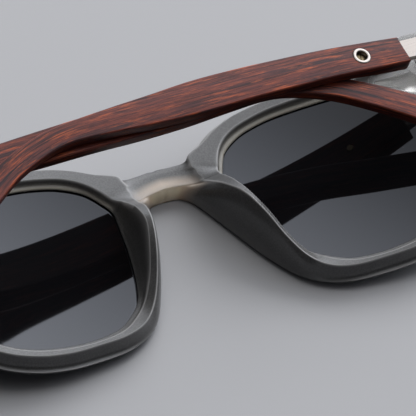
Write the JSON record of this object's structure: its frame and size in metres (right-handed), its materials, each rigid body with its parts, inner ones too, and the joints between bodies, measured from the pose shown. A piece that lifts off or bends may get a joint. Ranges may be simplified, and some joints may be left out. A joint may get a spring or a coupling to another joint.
{
  "type": "sunglasses",
  "caption": "Folding sunglasses: frosted grey front with moulded nose pads and dark lenses, wooden temples on metal cores that turn on screw hinges.",
  "frame": {"origin": "under the middle of the folded pair's bounding box, on the plane of the bridge's front face", "axes": "+X along the front to the wearer's right, +Y the glasses' up, +Z to the wearer; the temples are folded at rest"},
  "size_m": [0.1358, 0.0496, 0.0247],
  "materials": {
    "front": "frosted, slightly see-through smoke grey",
    "lens": "polished dark tint",
    "hinge_metal": "satin nickel silver",
    "screw_metal": "satin",
    "core_metal": "bright satin",
    "ring_metal": "polished",
    "wood": "oiled reddish rosewood, lengthwise grain"
  },
  "bodies": {
    "front": {"front_frame": "front", "left_lens": "lens", "right_lens": "lens", "left_front_hinge": "hinge_metal", "right_front_hinge": "hinge_metal", "left_hinge_screw": "screw_metal", "right_hinge_screw": "screw_metal"},
    "right_arm": {"right_temple_core": "core_metal", "right_temple": "wood", "right_ring": "ring_metal", "right_temple_screw": "screw_metal"},
    "left_arm": {"left_temple_core": "core_metal", "left_temple": "wood", "left_ring": "ring_metal", "left_temple_screw": "screw_metal"}
  },
  "joints": [
    {"name": "right_temple_fold", "type": "hinge", "parent": "front", "child": "right_arm", "pos_m": [0.063, 0.01505, 0.0165], "axis": [0, 0.9888, 0.1495], "range_deg": [0, 90.8]},
    {"name": "left_temple_fold", "type": "hinge", "parent": "front", "child": "left_arm", "pos_m": [-0.063, 0.01505, 0.0165], "axis": [0, -0.9888, -0.1495], "range_deg": [0, 93.2]}
  ]
}
